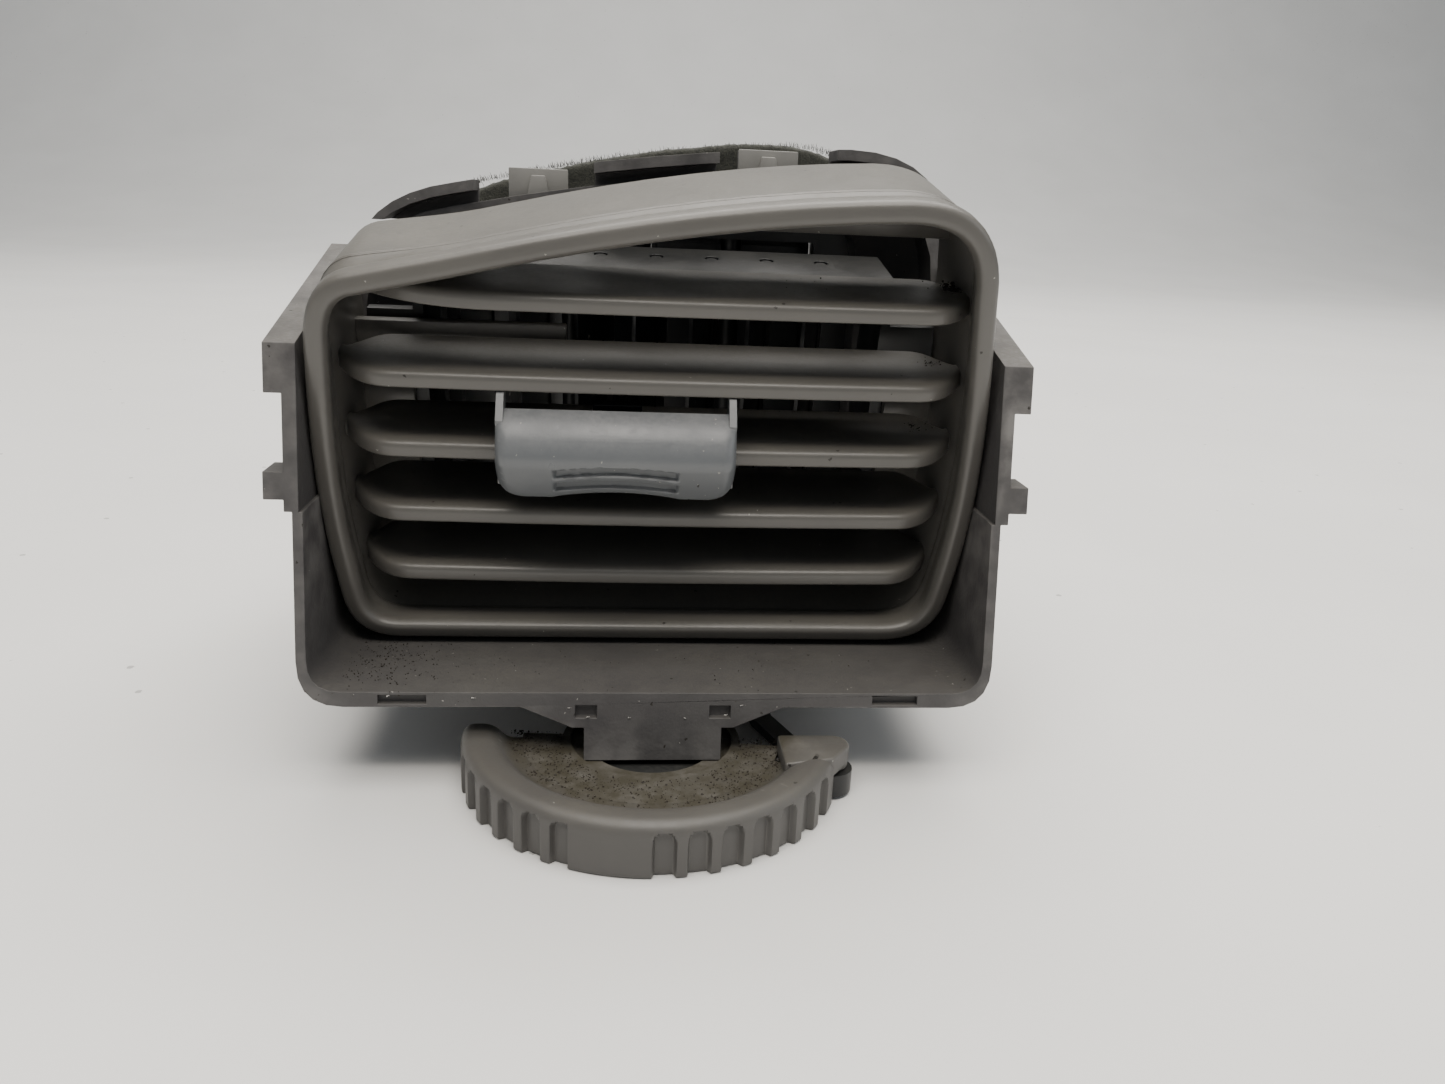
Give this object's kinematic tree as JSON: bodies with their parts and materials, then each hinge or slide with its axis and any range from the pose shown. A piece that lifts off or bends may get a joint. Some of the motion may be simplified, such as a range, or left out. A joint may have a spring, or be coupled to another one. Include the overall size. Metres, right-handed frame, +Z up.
{
  "type": "dashboard air vent",
  "caption": "Tilting-barrel dashboard air vent with fixed louvres, a sliding knob that steers vertical vanes, and a ribbed thumbwheel that turns twin damper blades.",
  "frame": {"origin": "middle of the footprint on the surface the vent stands on, at its legs' and thumbwheel's lowest faces", "axes": "+Z up, -Y is the way the air leaves through the louvres, +X to the right seen from the front"},
  "size_m": [0.119, 0.1272, 0.1038],
  "materials": {
    "housing": "fine moulded texture, dusty",
    "bezel": "soft satin sheen, worn",
    "knob": "dusty satin",
    "black": "satin",
    "foam": "open felted foam",
    "steel": "bright zinc",
    "nylon": "natural nylon"
  },
  "bodies": {
    "housing": {"front_housing": "housing", "rear_housing": "housing", "duct_seal_foam": "foam", "damper_frame": "housing", "pivot_bush_left": "nylon", "pivot_bush_right": "nylon", "wheel_screw": "steel", "wheel_washer": "steel"},
    "drum": {"drum_shell": "bezel", "horizontal_vane_1": "bezel", "horizontal_vane_2": "bezel", "horizontal_vane_3": "bezel", "horizontal_vane_4": "bezel", "horizontal_vane_5": "bezel", "vane_frame": "black", "friction_ring_left": "black", "friction_ring_right": "black"},
    "knob": {"slide_knob": "knob", "knob_clip": "black"},
    "vertical_vane_1": {"vertical_vane_1": "black"},
    "vertical_vane_2": {"vertical_vane_2": "black"},
    "vertical_vane_3": {"vertical_vane_3": "black"},
    "vertical_vane_4": {"vertical_vane_4": "black"},
    "vertical_vane_5": {"vertical_vane_5": "black"},
    "vertical_vane_6": {"vertical_vane_6": "black"},
    "vertical_vane_7": {"vertical_vane_7": "black"},
    "vane_link_bar": {"vane_link_bar": "black"},
    "thumbwheel": {"thumbwheel": "bezel"},
    "damper_link_rod": {"damper_link_rod": "black"},
    "damper_left": {"damper_blade_left": "black", "damper_crank_left": "black"},
    "damper_right": {"damper_blade_right": "black", "damper_crank_right": "black"},
    "damper_tie_bar": {"damper_tie_bar": "black"}
  },
  "joints": [
    {"name": "drum_tilt", "type": "hinge", "parent": "housing", "child": "drum", "pos_m": [0, -0.00236, 0.0578], "axis": [1, 0, 0], "range_deg": [-30, 2]},
    {"name": "knob_slide", "type": "slide", "parent": "drum", "child": "knob", "axis": [1, 0, 0], "range_m": [-0.005, 0.018]},
    {"name": "vertical_vane_1_turn", "type": "hinge", "parent": "drum", "child": "vertical_vane_1", "pos_m": [-0.03, 0.01134, 0.06071], "axis": [0, -0.2079, 0.9781], "range_deg": [-15, 53.5]},
    {"name": "vertical_vane_2_turn", "type": "hinge", "parent": "drum", "child": "vertical_vane_2", "pos_m": [-0.02, 0.01134, 0.06071], "axis": [0, -0.2079, 0.9781], "range_deg": [-15, 53.5]},
    {"name": "vertical_vane_3_turn", "type": "hinge", "parent": "drum", "child": "vertical_vane_3", "pos_m": [-0.01, 0.01134, 0.06071], "axis": [0, -0.2079, 0.9781], "range_deg": [-15, 53.5]},
    {"name": "vertical_vane_4_turn", "type": "hinge", "parent": "drum", "child": "vertical_vane_4", "pos_m": [0, 0.01134, 0.06071], "axis": [0, -0.2079, 0.9781], "range_deg": [-15, 53.5]},
    {"name": "vertical_vane_5_turn", "type": "hinge", "parent": "drum", "child": "vertical_vane_5", "pos_m": [0.01, 0.01134, 0.06071], "axis": [0, -0.2079, 0.9781], "range_deg": [-15, 53.5]},
    {"name": "vertical_vane_6_turn", "type": "hinge", "parent": "drum", "child": "vertical_vane_6", "pos_m": [0.02, 0.01134, 0.06071], "axis": [0, -0.2079, 0.9781], "range_deg": [-15, 53.5]},
    {"name": "vertical_vane_7_turn", "type": "hinge", "parent": "drum", "child": "vertical_vane_7", "pos_m": [0.03, 0.01134, 0.06071], "axis": [0, -0.2079, 0.9781], "range_deg": [-15, 53.5]},
    {"name": "vane_link_bar_turn", "type": "hinge", "parent": "vertical_vane_4", "child": "vane_link_bar", "pos_m": [0.00197, 0.01688, 0.06189], "axis": [0, -0.2079, 0.9781], "range_deg": [-53.5, 15]},
    {"name": "wheel_turn", "type": "hinge", "parent": "housing", "child": "thumbwheel", "pos_m": [0, -0.03266, 0.004], "axis": [0, 0, 1], "range_deg": [-6, 50]},
    {"name": "link_rod_turn", "type": "hinge", "parent": "thumbwheel", "child": "damper_link_rod", "pos_m": [0.0292, -0.03935, 0.0025], "axis": [0, 0, 1], "range_deg": [-50, 6]},
    {"name": "damper_left_turn", "type": "hinge", "parent": "housing", "child": "damper_left", "pos_m": [-0.017, 0.04564, 0.05], "axis": [0, 0, 1], "range_deg": [-6, 50]},
    {"name": "damper_right_turn", "type": "hinge", "parent": "housing", "child": "damper_right", "pos_m": [0.017, 0.04564, 0.05], "axis": [0, 0, 1], "range_deg": [-6, 50]},
    {"name": "damper_tie_bar_turn", "type": "hinge", "parent": "damper_left", "child": "damper_tie_bar", "pos_m": [-0.017, 0.03364, 0.0093], "axis": [0, 0, 1], "range_deg": [-50, 6]}
  ],
  "couplings": [
    {"joint": "vertical_vane_1_turn", "follows": "knob_slide", "rad_per_m": 51.5},
    {"joint": "vertical_vane_2_turn", "follows": "knob_slide", "rad_per_m": 51.5},
    {"joint": "vertical_vane_3_turn", "follows": "knob_slide", "rad_per_m": 51.5},
    {"joint": "vertical_vane_4_turn", "follows": "knob_slide", "rad_per_m": 51.5},
    {"joint": "vertical_vane_5_turn", "follows": "knob_slide", "rad_per_m": 51.5},
    {"joint": "vertical_vane_6_turn", "follows": "knob_slide", "rad_per_m": 51.5},
    {"joint": "vertical_vane_7_turn", "follows": "knob_slide", "rad_per_m": 51.5},
    {"joint": "vane_link_bar_turn", "follows": "knob_slide", "rad_per_m": -51.5},
    {"joint": "link_rod_turn", "follows": "wheel_turn", "ratio": -1},
    {"joint": "damper_left_turn", "follows": "wheel_turn", "ratio": 1},
    {"joint": "damper_right_turn", "follows": "wheel_turn", "ratio": 1},
    {"joint": "damper_tie_bar_turn", "follows": "wheel_turn", "ratio": -1}
  ]
}
